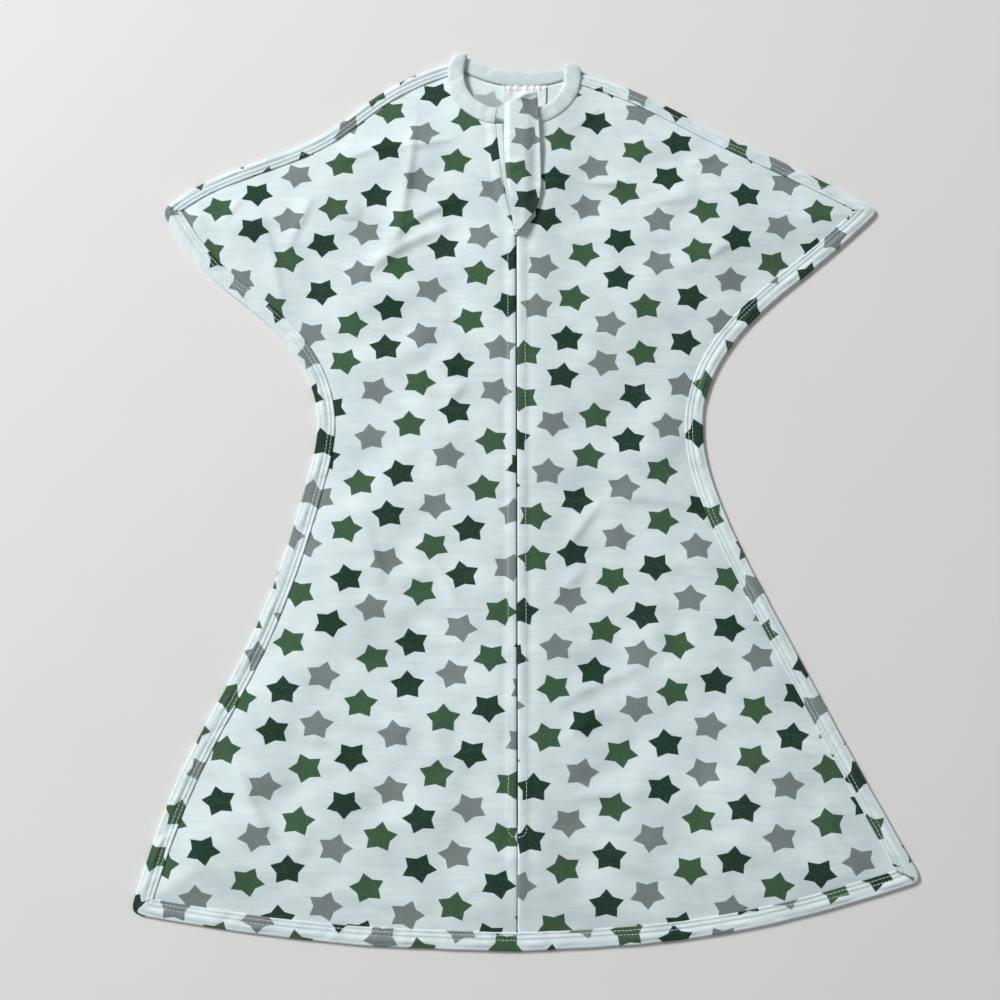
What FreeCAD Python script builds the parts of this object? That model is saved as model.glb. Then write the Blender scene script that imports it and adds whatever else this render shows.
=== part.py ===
import FreeCAD
import Part
import os

from FreeCAD import Vector

# A baby's wing-sleeved sleeping bag, laid flat on its back with the zip part open.
# Plan: x runs out from the zip line, y up from the lowest point of the hem. z is up from the floor.
# Everything is in millimetres. The finished parts are moved so that the origin is the middle
# of the bag's underside.

# outline, as the bag lies: a lean shifts both halves the same way, because cloth never lies true
bag_length = 693.0            # hem to the seam at the neck
wing_span = 581.0
wing_lean = 3.5
wing_drop = 123.0             # wing tips below the neck
waist_width = 302.0
waist_lean = -5.0
waist_drop = 298.0
hem_width = 586.0
hem_lean = 7.0
corner_rise = {"left": 26.0, "right": 49.0}   # hem corners above the middle of the hem
neck_width = 107.0
neck_tilt = 4.5               # the left shoulder lies this much higher, the right one lower

# how each run of the outline bows between its two ends, as each half happens to lie
shoulder_bows = {             # (share along from the neck, mm outward)
    "left": [(0.12, 4.2), (0.26, 3.0), (0.44, -4.8), (0.72, 1.2), (0.86, 4.0)],
    "right": [(0.14, 4.7), (0.37, 4.0), (0.60, 2.8), (0.85, 2.0)],
}
underarm_turns = {            # (share across, share down) from the wing tip to the waist
    "left": [(0.275, 0.285), (0.61, 0.50), (0.893, 0.736)],
    "right": [(0.277, 0.213), (0.615, 0.45), (0.905, 0.734)],
}
skirt_turns = {               # the same from the waist to the hem corner
    "left": [(0.05, 0.12), (0.42, 0.50), (0.74, 0.725)],
    "right": [(0.105, 0.213), (0.349, 0.4425), (0.684, 0.7356)],
}
hem_shares = [0.72, 0.36]     # the hem rises to its corners as the square of the distance

# cloth and layers
cloth = 1.0
cavity = 8.0                  # room between the back and the front
fold_wall = 1.2               # the back cloth where it turns up round the edge
shoulder_wrap = 10.5          # width of the back cloth lapped over the front
side_wrap = 13.5
hem_wrap = 13.0

# neck
front_neck_depth = 53.0
back_neck_depth = 16.0
scoop_share = 0.78            # where the front scoop turns, as a share of half the neck
scoop_drop = 36.0
binding_width = 13.0
binding_cloth = 2.0           # rib, doubled
binding_fold_in = 9.5         # the fold at the shoulder, in and up from the neck seam
binding_fold_up = 5.0

# front opening and zip
slit = 1.0                    # between the two front edges where the zip is shut
open_length = 90.0            # zip left open below the neck
opening_top = 16.0            # half the opening at the neck
opening_middle = 13.0
facing_top = 6.0              # width of the plain facing shown beside the opening
facing_middle = 4.5
zip_bottom = 90.0             # lowest tooth, above the hem
tape_width = 13.0
tape_cloth = 0.6
tape_tail = 18.0              # tape below the bottom stop
coil_width = 1.8
coil_height = 1.5
stop_length = 4.0
stop_width = 3.0
seam_allowance = 8.0
bartack_length = 15.0
bartack_width = 2.0
bartack_drop = 8.0            # below the lowest tooth

# slider and pull
slider_length = 9.0
slider_gap = 0.25             # clearance all round the slider
plate = 1.1
flange = 1.25
top_plate_width = 5.0
top_plate_length = 8.0
divider = 0.7
divider_length = 3.0
plate_round = 1.4
bail_width = 1.6
bail_wire = 0.8
bail_span = 6.0
pull_bar = 1.0
pull_thickness = 1.0
pull_length = 22.0
pull_width = 6.0
pull_eye_width = 2.2
pull_shoulder = 0.5           # narrower by this much each side along the bail
pull_end_flat = 0.2           # the rounded ends stop this far short of a half circle
slider_stop_gap = 0.5

# guard flap, label, stitching
guard_cloth = 1.4             # doubled
guard_edge = 1.2
guard_top_left = (-9.0, 16.0)     # x, and height above the front neck seam
guard_top_right = (17.0, 26.0)
guard_left_bow = -8.0
guard_right_bow = 20.0            # x at the middle of the opening
guard_right_turn = (17.5, 22.0)   # x, and height above the slider, where it turns in to its tip
guard_tip = 1.5
guard_wall_start = 20.0       # the flap's folded side starts this far above the slider
guard_wall_end = 6.0          # and stops this far short of the neck seam
label_width = 36.0
label_height = 18.0
label_side = 7.0              # the label's middle, beside the zip line
label_cloth = 0.4
thread = 0.25
stitch_width = 0.8
over = 1.0                    # how far a cutting block runs past what it cuts
wrap_rows = [2.0, 5.0]        # twin needle rows, in from the lapped edge
zip_row = 4.6                 # the row beside the zip, in from the front edge

# levels
front_low = cloth + cavity
front_top = front_low + cloth
tape_low = front_low - tape_cloth
coil_low = tape_low - coil_height
slider_rest = bag_length - front_neck_depth - open_length
front_neck = bag_length - front_neck_depth
plate_low = coil_low - slider_gap - plate
top_plate_low = front_top + slider_gap
pull_axis = top_plate_low + plate + slider_gap + pull_thickness / 2
bail_low = pull_axis + pull_thickness / 2 + slider_gap
bail_top = bail_low + bail_wire
guard_low = bail_top + slider_gap
sides = {"left": -1, "right": 1}


def at(x, y):
    return Vector(x, y, 0)


def spline(points):
    curve = Part.BSplineCurve()
    curve.interpolate(points)
    return curve


def arc(start, middle, end):
    return Part.Arc(start, middle, end)


def line(start, end):
    return Part.LineSegment(start, end)


def slab(curves, low, high):
    """The solid over a closed run of curves, from one level to another."""
    wire = Part.Wire([c.toShape() for c in curves])
    face = Part.Face(wire)
    face.translate(Vector(0, 0, low))
    return face.extrude(Vector(0, 0, high - low))


def block(x_low, x_high, y_low, y_high, low, high):
    return Part.makeBox(x_high - x_low, y_high - y_low, high - low, Vector(x_low, y_low, low))


# ---- outline ----

def key_points(side):
    """The neck, wing tip, waist and hem corner of one half."""
    s = sides[side]
    neck = at(s * neck_width / 2, bag_length - s * neck_tilt)
    tip = at(s * wing_span / 2 + wing_lean, bag_length - wing_drop)
    waist = at(s * waist_width / 2 + waist_lean, bag_length - waist_drop)
    corner = at(s * hem_width / 2 + hem_lean, corner_rise[side])
    return neck, tip, waist, corner


def between(start, end, across, down):
    return at(start.x + (end.x - start.x) * across, start.y + (end.y - start.y) * down)


def outline(side):
    """Points of the three runs of one half: shoulder, side and hem, in that order round it."""
    neck, tip, waist, corner = key_points(side)
    along = (tip - neck).normalize()
    outward = at(-sides[side] * along.y, sides[side] * along.x)
    shoulder = [neck + (tip - neck) * share + outward * bow for share, bow in shoulder_bows[side]]
    underarm = [between(tip, waist, *turn) for turn in underarm_turns[side]]
    skirt = [between(waist, corner, *turn) for turn in skirt_turns[side]]
    hem = [at(corner.x * share, corner.y * share ** 2) for share in hem_shares]
    return {
        "shoulder": [neck, *shoulder, tip],
        "side": [tip, *underarm, waist, *skirt, corner],
        "hem": [corner, *hem, at(0, 0)],
    }


def inward(curve, point, side):
    """Unit vector into the bag from a point of its edge."""
    tangent = curve.tangent(curve.parameter(point))[0]
    return at(sides[side] * tangent.y, -sides[side] * tangent.x)


def mitre(corner, first, second, first_inset, second_inset, side):
    """Where two edge runs cross once both are moved into the bag."""
    t1 = first.tangent(first.parameter(corner))[0]
    t2 = second.tangent(second.parameter(corner))[0]
    p1 = corner + inward(first, corner, side) * first_inset
    p2 = corner + inward(second, corner, side) * second_inset
    gap = p2 - p1
    reach = (gap.x * t2.y - gap.y * t2.x) / (t1.x * t2.y - t1.y * t2.x)
    return p1 + t1 * reach


def inset(side, shoulder_inset, side_inset, hem_inset):
    """The three runs of one half moved into the bag, as curves that still meet at the corners."""
    points = outline(side)
    edge = {run: spline(points[run]) for run in points}
    amount = {"shoulder": shoulder_inset, "side": side_inset, "hem": hem_inset}
    moved = {
        run: [p + inward(edge[run], p, side) * amount[run] for p in points[run]]
        for run in points
    }
    tip, corner = points["side"][0], points["side"][-1]
    inner_tip = mitre(tip, edge["shoulder"], edge["side"], shoulder_inset, side_inset, side)
    inner_corner = mitre(corner, edge["side"], edge["hem"], side_inset, hem_inset, side)
    moved["shoulder"][-1] = moved["side"][0] = inner_tip
    moved["side"][-1] = moved["hem"][0] = inner_corner
    moved["hem"][-1] = at(0, hem_inset)
    return {run: spline(moved[run]) for run in moved}


def wrap_line(side, back_from_lip):
    """The lapped edge of the back cloth, or a row beside it."""
    return inset(side, shoulder_wrap - back_from_lip, side_wrap - back_from_lip,
                 hem_wrap - back_from_lip)


def strip(outer, inner, low, high):
    """The solid between two runs of curve."""
    ends = [outer.value(outer.LastParameter), inner.value(inner.LastParameter),
            inner.value(inner.FirstParameter), outer.value(outer.FirstParameter)]
    return slab([outer, line(ends[0], ends[1]), inner, line(ends[2], ends[3])], low, high)


def half(curves, low, high):
    """One half of the bag's plan, closed along the zip line and straight across the neck."""
    start = curves["shoulder"].value(curves["shoulder"].FirstParameter)
    end = curves["hem"].value(curves["hem"].LastParameter)
    top = at(0, bag_length)
    return slab([curves["shoulder"], curves["side"], curves["hem"], line(end, top),
                 line(top, start)], low, high)


# ---- neck ----

def neck_points(side):
    """Points of the front neck seam and of the binding's free edge, shoulder to front."""
    s = sides[side]
    neck = key_points(side)[0]
    turn = at(neck.x * scoop_share, bag_length - scoop_drop)
    front = at(s * (opening_top + fold_wall), front_neck)
    centre = arc(neck, turn, front).toShape().Curve.Center
    inner_turn = turn + (centre - turn).normalize() * binding_width
    inner_front = front + (centre - front).normalize() * binding_width
    fold = neck + at(-s * binding_fold_in, binding_fold_up)
    return neck, turn, front, fold, inner_turn, inner_front


def front_binding(side):
    neck, turn, front, fold, inner_turn, inner_front = neck_points(side)
    return [arc(neck, turn, front), line(front, inner_front),
            arc(inner_front, inner_turn, fold), line(fold, neck)]


def back_binding():
    left, right = neck_points("left"), neck_points("right")
    seam_dip = at(0, bag_length - back_neck_depth)
    top_dip = seam_dip + at(0, binding_width)
    return [arc(left[0], seam_dip, right[0]), line(right[0], right[3]),
            arc(right[3], top_dip, left[3]), line(left[3], left[0])]


def front_neck_hole():
    """Plan of everything the front neck seam leaves out."""
    left, right = neck_points("left"), neck_points("right")
    above = bag_length + binding_width
    return slab([arc(left[0], left[1], left[2]), line(left[2], right[2]),
                 arc(right[2], right[1], right[0]), line(right[0], at(right[0].x, above)),
                 line(at(right[0].x, above), at(left[0].x, above)),
                 line(at(left[0].x, above), left[0])], -cloth, guard_low)


def back_neck_hole():
    left, right = neck_points("left")[0], neck_points("right")[0]
    above = bag_length + binding_width
    return slab([arc(left, at(0, bag_length - back_neck_depth), right),
                 line(right, at(right.x, above)),
                 line(at(right.x, above), at(left.x, above)),
                 line(at(left.x, above), left)], -cloth, guard_low)


def neck_binding():
    legs = [slab(front_binding(side), front_low, front_low + binding_cloth) for side in sides]
    back = slab(back_binding(), 0, binding_cloth)
    columns = []
    for side in sides:
        column = slab(front_binding(side), 0, front_low + binding_cloth)
        columns.append(column.common(slab(back_binding(), 0, front_low + binding_cloth)))
    return legs[0].fuse([legs[1], back, *columns]).removeSplitter()


# ---- shell ----

def back_panel():
    halves = [half(inset(side, 0, 0, 0), 0, cloth) for side in sides]
    return halves[0].fuse(halves[1]).cut(back_neck_hole()).removeSplitter()


def front_panel(side):
    panel = half(inset(side, fold_wall, fold_wall, fold_wall), front_low, front_top)
    return panel.cut([front_neck_hole(), front_opening()])


def wrap(run, side):
    """The back cloth turned up round the edge and lapped over the front."""
    edge = inset(side, 0, 0, 0)[run]
    wall = inset(side, fold_wall, fold_wall, fold_wall)[run]
    lip = wrap_line(side, 0)[run]
    turned = strip(edge, wall, cloth, front_top)
    lapped = strip(edge, lip, front_top, front_top + cloth)
    return turned.fuse(lapped).cut(front_neck_hole()).removeSplitter()


def stitch_rows(run, side):
    rows = []
    for offset in wrap_rows:
        outer = wrap_line(side, offset + stitch_width)[run]
        inner = wrap_line(side, offset)[run]
        row = strip(outer, inner, front_top + cloth, front_top + cloth + thread)
        rows.append(row.cut(front_neck_hole()))
    return rows


# ---- front opening and zip ----

def edge_points(side, middle, top, offset):
    """Points of a line beside the zip: shut part, then the part that is open."""
    s = sides[side]
    start = at(s * (slit / 2 + offset), slider_rest)
    bend = at(s * (middle + offset), slider_rest + open_length / 2)
    end = at(s * (top + offset), front_neck)
    return start, bend, end


def front_opening():
    """Plan of the gap between the two front edges."""
    left = edge_points("left", opening_middle, opening_top, 0)
    right = edge_points("right", opening_middle, opening_top, 0)
    foot_left = at(-slit / 2, zip_bottom - bartack_drop)
    foot_right = at(slit / 2, zip_bottom - bartack_drop)
    return slab([line(foot_left, left[0]), arc(*left), line(left[2], right[2]),
                 arc(right[2], right[1], right[0]), line(right[0], foot_right),
                 line(foot_right, foot_left)], 0, guard_low)


def zip_strip(side, start_offset, end_offset, foot, low, high):
    """A strip beside the zip, following the free edge of the tape."""
    middle = opening_middle - facing_middle
    top = opening_top - facing_top
    near = edge_points(side, middle, top, start_offset)
    far = edge_points(side, middle, top, end_offset)
    near_foot, far_foot = at(near[0].x, foot), at(far[0].x, foot)
    return slab([line(near_foot, near[0]), arc(*near), line(near[2], far[2]),
                 arc(far[2], far[1], far[0]), line(far[0], far_foot),
                 line(far_foot, near_foot)], low, high)


def zip_tape(side):
    return zip_strip(side, 0, tape_width, zip_bottom - tape_tail, tape_low, front_low)


def zip_coil(side):
    """The teeth below the slider, one row, as a rod."""
    s = sides[side]
    near, far = sorted([s * slit / 2, s * (slit / 2 + coil_width)])
    return block(near, far, zip_bottom, slider_rest + slider_length / 2, coil_low, tape_low)


def open_coil(side):
    """The teeth above the slider, which part with the front edges."""
    row = zip_strip(side, 0, coil_width, zip_bottom, coil_low, tape_low)
    reach = opening_top + coil_width
    shut = block(-reach, reach, zip_bottom - over, slider_rest + slider_length / 2 + slider_gap,
                 coil_low - over, front_low)
    stop = block(-reach, reach, front_neck - stop_length, front_neck + over, coil_low - over,
                 front_low)
    return row.cut([shut, stop])


def top_stops():
    stops = []
    for s in sides.values():
        x = s * (opening_top - facing_top + coil_width / 2)
        stops.append(block(x - stop_width / 2, x + stop_width / 2, front_neck - stop_length,
                           front_neck, coil_low - slider_gap, tape_low))
    return stops


def bottom_stop():
    reach = slit / 2 + coil_width
    return block(-reach, reach, zip_bottom - stop_length, zip_bottom, coil_low - slider_gap,
                 tape_low)


def front_edge_facing():
    """The plain turned facing that shows between the left front's edge and the opening."""
    clear = edge_points("left", opening_middle - facing_middle, opening_top - facing_top, 0)
    cut = edge_points("left", opening_middle, opening_top, 0)
    return slab([arc(*cut), line(cut[2], clear[2]), arc(clear[2], clear[1], clear[0])],
                front_low, front_top)


def zip_stitches(side):
    """The row that holds one side of the zip, from the bartack to where the front opens."""
    foot = zip_bottom - bartack_drop + bartack_width / 2
    row = zip_strip(side, zip_row, zip_row + stitch_width / 2, foot, front_top, front_top + thread)
    return row.cut(block(-wing_span, wing_span, slider_rest, bag_length, 0, guard_low))


def centre_seam():
    """The two front edges' allowance inside, below the zip."""
    top = zip_bottom - tape_tail - slider_gap
    return block(-seam_allowance, seam_allowance, hem_wrap, top, front_low - cloth, front_low)


def bartack():
    y = zip_bottom - bartack_drop
    return block(-bartack_length / 2, bartack_length / 2, y - bartack_width / 2,
                 y + bartack_width / 2, front_top, front_top + 2 * thread)


# ---- slider ----

def rounded(shape, radius):
    """A plate with its upright corners rounded."""
    upright = [e for e in shape.Edges if abs(e.tangentAt(e.FirstParameter).z) > 0.99]
    return shape.makeFillet(radius, upright)


def slider_body():
    y = slider_rest
    inner = slit / 2 + coil_width + slider_gap
    outer = inner + flange
    reach = slider_length / 2
    lower = rounded(block(-outer, outer, y - reach, y + reach, plate_low, plate_low + plate),
                    plate_round)
    guides = [
        block(low, high, y - reach + plate_round, y + reach - plate_round, plate_low + plate,
              tape_low - slider_gap)
        for low, high in [(-outer, -inner), (inner, outer)]
    ]
    post_top = y + reach - plate_round
    post = block(-divider / 2, divider / 2, post_top - divider_length, post_top,
                 plate_low + plate, top_plate_low)
    upper = rounded(block(-top_plate_width / 2, top_plate_width / 2, y - top_plate_length / 2,
                          y + top_plate_length / 2, top_plate_low, top_plate_low + plate),
                    plate_round)
    bail = block(-bail_width / 2, bail_width / 2, y - bail_span / 2, y + bail_span / 2,
                 top_plate_low + plate, bail_top)
    eye = block(-bail_width, bail_width, y - bail_span / 2 + bail_wire,
                y + bail_span / 2 - bail_wire, top_plate_low + plate, bail_low)
    return lower.fuse([*guides, post, upper, bail.cut(eye)]).removeSplitter()


def slider_pull():
    """The pull lies towards the neck. Its bar turns under the slider's bail."""
    y = slider_rest
    low, high = pull_axis - pull_thickness / 2, pull_axis + pull_thickness / 2
    tab = rounded(block(-pull_width / 2, pull_width / 2, y, y + pull_length, low, high),
                  pull_width / 2 - pull_end_flat)
    root = pull_width / 2 - pull_shoulder
    narrow = [
        block(x_low, x_high, y - over, y + bail_span, low - over, high + over)
        for x_low, x_high in [(-pull_width, -root), (root, pull_width)]
    ]
    reach = (bail_span / 2 + bail_wire) + slider_gap
    eye = block(-pull_eye_width / 2, pull_eye_width / 2, y - over, y + reach, low - over, high + over)
    bar = Part.makeCylinder(pull_bar / 2, 2 * root, Vector(-root, y, pull_axis), Vector(1, 0, 0))
    heel = block(-pull_width, pull_width, y - over, y, low - over, high + over)
    return tab.cut([*narrow, eye, heel]).fuse(bar).removeSplitter()


# ---- guard, label ----

def guard_curves():
    left = at(guard_top_left[0], front_neck + guard_top_left[1])
    right = at(guard_top_right[0], front_neck + guard_top_right[1])
    tip = at(guard_tip, slider_rest - guard_tip)
    bend = slider_rest + open_length / 2
    left_side = arc(left, at(guard_left_bow, bend), tip)
    turn = at(guard_right_turn[0], slider_rest + guard_right_turn[1])
    right_side = spline([tip, turn, at(guard_right_bow, bend + guard_edge), right])
    return left_side, right_side, left, right


def zip_guard():
    """The flap behind the zip, drawn out over the opening, with its side folded down to the front."""
    left_side, right_side, left, right = guard_curves()
    top = slab([left_side, right_side, line(right, left)], guard_low, guard_low + guard_cloth)
    side = slab([left_side, right_side, line(right, left)], front_top, guard_low)
    moved = side.copy()
    moved.translate(Vector(-guard_edge, 0, 0))
    reach = guard_right_bow + guard_edge
    below = block(-reach, reach, 0, slider_rest + guard_wall_start, 0, guard_low)
    above = block(-reach, reach, front_neck - guard_wall_end, bag_length, 0, guard_low)
    fold = side.cut([moved, below, above])
    return top.fuse(fold).removeSplitter()


def neck_label():
    """A label caught in the back neck seam."""
    top = bag_length - back_neck_depth
    label = block(label_side - label_width / 2, label_side + label_width / 2,
                  top - label_height, top, cloth, cloth + label_cloth)
    return label.cut(back_neck_hole())


def label_stitches():
    top = bag_length - back_neck_depth
    return block(label_side - label_width / 2, label_side + label_width / 2,
                 top - 2 * bartack_width, top - bartack_width, cloth + label_cloth,
                 cloth + label_cloth + thread)


# ---- the set of parts ----

parts = {
    "back_panel": [back_panel()],
    "neck_binding": [neck_binding()],
    "zip_top_stops": top_stops(),
    "zip_bottom_stop": [bottom_stop()],
    "zip_slider": [slider_body()],
    "zip_pull": [slider_pull()],
    "zip_guard": [zip_guard()],
    "front_edge_facing": [front_edge_facing()],
    "centre_seam": [centre_seam()],
    "zip_bartack": [bartack()],
    "neck_label": [neck_label()],
    "label_stitches": [label_stitches()],
}
for side in sides:
    parts[f"front_panel_{side}"] = [front_panel(side)]
    parts[f"shoulder_wrap_{side}"] = [wrap("shoulder", side)]
    parts[f"side_wrap_{side}"] = [wrap("side", side)]
    parts[f"shoulder_stitches_{side}"] = stitch_rows("shoulder", side)
    parts[f"side_stitches_{side}"] = stitch_rows("side", side)
    parts[f"zip_tape_{side}"] = [zip_tape(side)]
    parts[f"zip_coil_{side}"] = [zip_coil(side)]
    parts[f"open_coil_{side}"] = [open_coil(side)]
    parts[f"zip_stitches_{side}"] = [zip_stitches(side)]
parts["hem_wrap"] = [wrap("hem", "left").fuse(wrap("hem", "right")).removeSplitter()]
parts["hem_stitches"] = [
    left.fuse(right).removeSplitter()
    for left, right in zip(stitch_rows("hem", "left"), stitch_rows("hem", "right"))
]

# the origin goes to the middle of the underside
everything = Part.makeCompound([solid for solids in parts.values() for solid in solids])
box = everything.optimalBoundingBox()
shift = Vector(-(box.XMin + box.XMax) / 2, -(box.YMin + box.YMax) / 2, -box.ZMin)

os.makedirs("parts", exist_ok=True)
for name, solids in parts.items():
    loose = [s for solid in solids for s in solid.Solids]
    shape = loose[0] if len(loose) == 1 else Part.makeCompound(loose)
    shape.translate(shift)
    shape.exportStep(f"parts/{name}.step")
    print(name, len(loose), "solids,", round(shape.Volume / 1000, 3), "cm3,",
          "sound" if shape.isValid() else "FAULTY")

print("size", round(box.XLength, 1), round(box.YLength, 1), round(box.ZLength, 1))
print("shift", [round(v, 3) for v in shift])
print("pull hinge at", round(shift.x, 3), round(slider_rest + shift.y, 3),
      round(pull_axis + shift.z, 3))
print("slider travel down", round(slider_rest - slider_length / 2 - zip_bottom - slider_stop_gap, 2))
print("slider travel up", round(front_neck - stop_length - slider_length / 2 - slider_rest, 2))
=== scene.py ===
import math
import bpy
import numpy as np
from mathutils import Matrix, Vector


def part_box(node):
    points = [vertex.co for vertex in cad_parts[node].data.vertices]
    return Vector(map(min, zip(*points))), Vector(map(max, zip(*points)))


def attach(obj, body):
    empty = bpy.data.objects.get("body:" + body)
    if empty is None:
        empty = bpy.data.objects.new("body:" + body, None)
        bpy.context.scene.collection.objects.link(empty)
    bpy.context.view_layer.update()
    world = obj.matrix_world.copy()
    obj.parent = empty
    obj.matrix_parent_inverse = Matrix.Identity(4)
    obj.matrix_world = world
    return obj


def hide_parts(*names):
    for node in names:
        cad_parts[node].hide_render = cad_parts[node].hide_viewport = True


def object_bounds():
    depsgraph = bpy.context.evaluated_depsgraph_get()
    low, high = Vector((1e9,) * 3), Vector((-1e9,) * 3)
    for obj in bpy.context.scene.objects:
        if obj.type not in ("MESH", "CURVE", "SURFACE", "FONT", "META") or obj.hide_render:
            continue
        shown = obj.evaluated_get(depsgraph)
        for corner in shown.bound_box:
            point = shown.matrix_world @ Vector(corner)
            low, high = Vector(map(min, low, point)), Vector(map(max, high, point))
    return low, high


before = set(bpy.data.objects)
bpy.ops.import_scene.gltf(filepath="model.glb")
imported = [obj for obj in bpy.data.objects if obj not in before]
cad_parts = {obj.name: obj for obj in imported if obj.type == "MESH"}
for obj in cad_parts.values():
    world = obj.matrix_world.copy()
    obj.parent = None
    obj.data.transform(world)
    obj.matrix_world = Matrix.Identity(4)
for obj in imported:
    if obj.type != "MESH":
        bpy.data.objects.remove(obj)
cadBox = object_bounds()

# The bag lies on its back. Lengths in the dictionaries are millimetres in the bag's own plan:
# x out from the zip line, h up from the lowest point of the hem, z up from the floor.
mm = 0.001
stopLow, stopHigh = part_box("zip_bottom_stop")
zipX = (stopLow[0] + stopHigh[0]) / 2
hemY = cadBox[0][1]
sliderLow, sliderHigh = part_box("zip_slider")
sliderH = ((sliderLow[1] + sliderHigh[1]) / 2 - hemY) / mm
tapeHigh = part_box("zip_tape_left")[1]
neckH = (tapeHigh[1] - hemY) / mm
zipFootH = (stopHigh[1] - hemY) / mm
bagTopH = (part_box("back_panel")[1][1] - hemY) / mm
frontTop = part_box("front_panel_left")[1][2] / mm
openLength = neckH - sliderH


def inMetres(points):
    # plan millimetres to the frame's metres
    return np.asarray(points, float) * mm + np.array([zipX, hemY, 0.0])


def gridFaces(rows, cols, closed=False):
    # quads between neighbouring rows and columns of a grid of points; in a closed grid the last
    # column meets the first
    i, j = np.meshgrid(np.arange(rows - 1), np.arange(cols if closed else cols - 1), indexing="ij")
    here, ahead = i * cols, (j + 1) % cols
    return np.stack([here + j, here + ahead, here + cols + ahead, here + cols + j], -1).reshape(-1, 4)


def addObject(name, data):
    made = bpy.data.objects.new(name, data)
    bpy.context.scene.collection.objects.link(made)
    return made


def meshPiece(name, points, faces, uv=None):
    # points in plan millimetres, uv in metres per point; faces may differ in their corners
    mesh = bpy.data.meshes.new(name)
    faces = faces.tolist() if isinstance(faces, np.ndarray) else faces
    mesh.from_pydata(inMetres(points).tolist(), [], faces)
    if uv is not None:
        corner = np.empty(len(mesh.loops), np.int32)
        mesh.loops.foreach_get("vertex_index", corner)
        mesh.uv_layers.new(name="cloth").data.foreach_set("uv", uv[corner].ravel())
    mesh.polygons.foreach_set("use_smooth", np.full(len(mesh.polygons), True))
    mesh.update()
    return addObject(name, mesh)


def addThickness(piece, thick, offset, material=0, rim=0):
    # thick in millimetres; offset -1 grows behind the faces, 1 in front
    wall = piece.modifiers.new("thickness", "SOLIDIFY")
    wall.thickness = thick * mm
    wall.offset = offset
    wall.material_offset = material
    wall.material_offset_rim = rim
    wall.use_even_offset = False


def settle(piece, node, body, slotName, *materials):
    for material in materials:
        piece.data.materials.append(material)
    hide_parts(node)
    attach(piece, body)
    return piece


def smoothStep(x):
    x = np.clip(x, 0.0, 1.0)
    return x * x * (3 - 2 * x)


def splineThrough(points, count):
    # natural cubic spline through the points by chord length, evenly sampled by length
    p = np.asarray(points, float)
    t = np.r_[0.0, np.cumsum(np.linalg.norm(np.diff(p, axis=0), axis=1))]
    n, step = len(p), np.diff(t)
    a, b = np.zeros((n, n)), np.zeros((n, p.shape[1]))
    a[0, 0] = a[-1, -1] = 1
    inner = np.arange(1, n - 1)
    a[inner, inner - 1] = step[:-1]
    a[inner, inner] = 2 * (step[:-1] + step[1:])
    a[inner, inner + 1] = step[1:]
    slope = np.diff(p, axis=0) / step[:, None]
    b[1:-1] = 6 * np.diff(slope, axis=0)
    m = np.linalg.solve(a, b)
    s = np.linspace(0, t[-1], count * 4)
    k = np.clip(np.searchsorted(t, s, "right") - 1, 0, n - 2)
    u, w = (s - t[k])[:, None], (t[k + 1] - s)[:, None]
    d = step[k][:, None]
    line = (m[k] * w ** 3 + m[k + 1] * u ** 3) / (6 * d)
    line += (p[k] / d - m[k] * d / 6) * w + (p[k + 1] / d - m[k + 1] * d / 6) * u
    return evenly(line, count)


def evenly(line, count):
    # the same line with its points evenly spaced by length
    run = np.r_[0.0, np.cumsum(np.linalg.norm(np.diff(line, axis=0), axis=1))]
    s = np.linspace(0, run[-1], count)
    return np.stack([np.interp(s, run, line[:, i]) for i in range(line.shape[1])], -1)


def circleCentre(a, b, c):
    d = 2 * (a[0] * (b[1] - c[1]) + b[0] * (c[1] - a[1]) + c[0] * (a[1] - b[1]))
    sq = [v @ v for v in (a, b, c)]
    x = (sq[0] * (b[1] - c[1]) + sq[1] * (c[1] - a[1]) + sq[2] * (a[1] - b[1])) / d
    y = (sq[0] * (c[0] - b[0]) + sq[1] * (a[0] - c[0]) + sq[2] * (b[0] - a[0])) / d
    return np.array([x, y])


def arcThrough(a, b, c, count):
    # the circle through three points, from the first to the last by way of the second
    a, b, c = (np.asarray(v, float) for v in (a, b, c))
    centre = circleCentre(a, b, c)
    angle = [math.atan2(*(v - centre)[::-1]) for v in (a, b, c)]
    sweep = (angle[2] - angle[0]) % math.tau
    if (angle[1] - angle[0]) % math.tau > sweep:
        sweep -= math.tau
    t = angle[0] + np.linspace(0, 1, count) * sweep
    return centre + np.linalg.norm(a - centre) * np.stack([np.cos(t), np.sin(t)], -1)


def tangents(line):
    t = np.gradient(line, axis=0)
    return t / np.linalg.norm(t, axis=1, keepdims=True)


def lattice(seed, size=64):
    return np.random.default_rng(seed).uniform(-1, 1, (size, size))


def ripple(x, y, seed, sizeX, sizeY):
    # smooth noise from -1 to 1: random values on a lattice, eased between its points
    table = lattice(seed)
    u, v = np.asarray(x) / sizeX, np.asarray(y) / sizeY
    i, j = np.floor(u).astype(int), np.floor(v).astype(int)
    fu, fv = smoothStep(u - i), smoothStep(v - j)
    n = len(table)
    a, b = table[i % n, j % n], table[(i + 1) % n, j % n]
    c, d = table[i % n, (j + 1) % n], table[(i + 1) % n, (j + 1) % n]
    return (a * (1 - fu) + b * fu) * (1 - fv) + (c * (1 - fu) + d * fu) * fv


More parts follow.
